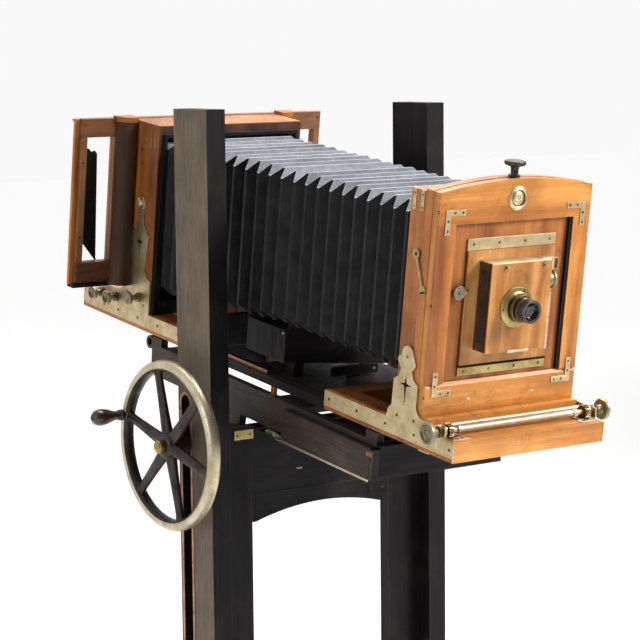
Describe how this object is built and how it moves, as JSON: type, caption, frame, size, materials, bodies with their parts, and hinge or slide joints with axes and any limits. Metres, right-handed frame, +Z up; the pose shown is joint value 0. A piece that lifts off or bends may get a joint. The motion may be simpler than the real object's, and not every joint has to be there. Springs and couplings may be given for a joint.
{
  "type": "studio view camera on lift stand",
  "caption": "Wooden studio view camera with pleated bellows and brass fittings, on a tilting platform that a crank handwheel lifts between two posts.",
  "frame": {"origin": "centre of the stand's footprint on the floor", "axes": "+Z up, the lens looks along -Y, +X to the right of someone facing the same way as +Y"},
  "size_m": [0.79, 1.24, 1.484],
  "materials": {
    "mahogany": "oiled and varnished mahogany, worn",
    "walnut": "dark varnished walnut",
    "ebonised_wood": "ebonised hardwood, rubbed satin",
    "brass": "lacquered brass, dulled",
    "dark_iron": "blackened iron, handled",
    "copper_rack": "reddish brass, toothed",
    "turned_wood": "turned and polished handle wood",
    "bellows_cloth": "black pleated leather cloth, matt",
    "black_lacquer": "black lacquered brass",
    "lens_glass": "polished lens glass",
    "ground_glass": "ground focusing glass"
  },
  "bodies": {
    "stand": {"foot_left": "ebonised_wood", "foot_right": "ebonised_wood", "cross_foot_front": "ebonised_wood", "cross_foot_rear": "ebonised_wood", "post_left": "ebonised_wood", "post_right": "ebonised_wood", "post_rack_left": "copper_rack", "post_rack_right": "copper_rack"},
    "carriage": {"runner_left": "ebonised_wood", "runner_right": "ebonised_wood", "apron": "ebonised_wood", "cheek_left": "ebonised_wood", "cheek_right": "ebonised_wood"},
    "crank": {"crank_shaft": "dark_iron", "handwheel": "brass"},
    "grip": {"grip": "turned_wood"},
    "platform": {"side_board_left": "ebonised_wood", "side_board_right": "ebonised_wood", "platform_front_plate": "ebonised_wood", "platform_rear_rail": "ebonised_wood", "cross_board_front": "ebonised_wood", "cross_board_middle": "ebonised_wood", "side_box": "ebonised_wood", "tilt_shaft": "dark_iron", "bed_rail_left": "ebonised_wood", "bed_rail_right": "ebonised_wood", "bed_rack": "copper_rack", "front_bed": "mahogany", "rear_bed": "mahogany", "bellows_support": "ebonised_wood", "bellows_front": "bellows_cloth", "bellows_rear": "bellows_cloth"},
    "front_carriage": {"front_bracket_left": "brass", "front_bracket_right": "brass", "front_riser": "mahogany", "front_tie_rod": "brass", "front_frame": "mahogany", "front_box": "mahogany"},
    "front_pinion": {"front_pinion_shaft": "brass"},
    "rising_front": {"rising_panel": "mahogany", "lens_board": "mahogany", "shutter_box": "walnut", "lens_flange": "brass", "lens_barrel": "black_lacquer", "lens_glass": "lens_glass"},
    "iris": {"iris_ring": "brass"},
    "pulley": {"shutter_pulley": "brass"},
    "turn_button": {"turn_button": "brass"},
    "clamp_screw": {"clamp_screw": "dark_iron"},
    "side_hook": {"side_hook": "brass"},
    "rear_carriage": {"rear_bracket_left": "brass", "rear_bracket_right": "brass", "rear_standard": "mahogany", "wide_back": "mahogany"},
    "rear_pinion": {"rear_pinion_shaft": "brass"},
    "clamp_rod": {"rear_clamp_rod": "brass"},
    "swing_left": {"swing_screw_left": "brass"},
    "swing_right": {"swing_screw_right": "brass"},
    "back_slide": {"glass_frame": "mahogany", "ground_glass": "ground_glass"}
  },
  "joints": [
    {"name": "carriage_lift", "type": "slide", "parent": "stand", "child": "carriage", "axis": [0, 0, 1], "range_m": [-0.28, 0.05]},
    {"name": "crank_turn", "type": "hinge", "parent": "carriage", "child": "crank", "pos_m": [0, 0.0275, 0.9], "axis": [1, 0, 0], "range_deg": [-211, 1177]},
    {"name": "grip_spin", "type": "hinge", "parent": "crank", "child": "grip", "pos_m": [-0.296, 0.16317, 0.93839], "axis": [1, 0, 0], "continuous": true},
    {"name": "platform_tilt", "type": "hinge", "parent": "carriage", "child": "platform", "pos_m": [0, 0.07, 0.905], "axis": [1, 0, 0], "range_deg": [-7.73, 3.5]},
    {"name": "front_focus", "type": "slide", "parent": "platform", "child": "front_carriage", "axis": [0, 0.9909, 0.1345], "range_m": [-0.008, 0.12], "deforming": ["bellows_front"]},
    {"name": "front_pinion_turn", "type": "hinge", "parent": "front_carriage", "child": "front_pinion", "pos_m": [0, -0.55184, 0.98679], "axis": [1, 0, 0], "range_deg": [-599, 41]},
    {"name": "rising_front_slide", "type": "slide", "parent": "front_carriage", "child": "rising_front", "axis": [0, -0.1345, 0.9909], "range_m": [-0.0065, 0.025]},
    {"name": "iris_turn", "type": "hinge", "parent": "rising_front", "child": "iris", "pos_m": [-0.0115, -0.56137, 1.17371], "axis": [0, 0.9909, 0.1345], "range_deg": [0, 110]},
    {"name": "pulley_spin", "type": "hinge", "parent": "rising_front", "child": "pulley", "pos_m": [0.0588, -0.5502, 1.21257], "axis": [1, 0, 0], "continuous": true},
    {"name": "turn_button_swing", "type": "hinge", "parent": "rising_front", "child": "turn_button", "pos_m": [-0.106, -0.53345, 1.20071], "axis": [0, 0.9909, 0.1345], "range_deg": [-90, 90]},
    {"name": "clamp_screw_turn", "type": "hinge", "parent": "front_carriage", "child": "clamp_screw", "pos_m": [0, -0.54372, 1.38046], "axis": [0, -0.1345, 0.9909], "range_deg": [-90, 360]},
    {"name": "hook_swing", "type": "hinge", "parent": "front_carriage", "child": "side_hook", "pos_m": [-0.1605, -0.49454, 1.26351], "axis": [1, 0, 0], "range_deg": [-45, 60]},
    {"name": "rear_focus", "type": "slide", "parent": "platform", "child": "rear_carriage", "axis": [0, 0.9909, 0.1345], "range_m": [-0.1, 0.04], "deforming": ["bellows_rear"]},
    {"name": "rear_pinion_turn", "type": "hinge", "parent": "rear_carriage", "child": "rear_pinion", "pos_m": [0, 0.469, 1.12385], "axis": [1, 0, 0], "range_deg": [-231, 574]},
    {"name": "clamp_rod_turn", "type": "hinge", "parent": "rear_carriage", "child": "clamp_rod", "pos_m": [0, 0.41819, 1.11897], "axis": [1, 0, 0], "range_deg": [-30, 180]},
    {"name": "swing_screw_left_turn", "type": "hinge", "parent": "rear_carriage", "child": "swing_left", "pos_m": [-0.1623, 0.33578, 1.12393], "axis": [-1, 0, 0], "range_deg": [-30, 360]},
    {"name": "swing_screw_right_turn", "type": "hinge", "parent": "rear_carriage", "child": "swing_right", "pos_m": [0.1623, 0.33578, 1.12393], "axis": [1, 0, 0], "range_deg": [-30, 360]},
    {"name": "back_shift", "type": "slide", "parent": "rear_carriage", "child": "back_slide", "axis": [1, 0, 0], "range_m": [-0.09, 0.09]}
  ],
  "couplings": [
    {"joint": "crank_turn", "follows": "carriage_lift", "rad_per_m": -73.26},
    {"joint": "front_pinion_turn", "follows": "front_focus", "rad_per_m": -86.957},
    {"joint": "rear_pinion_turn", "follows": "rear_focus", "rad_per_m": -100}
  ]
}
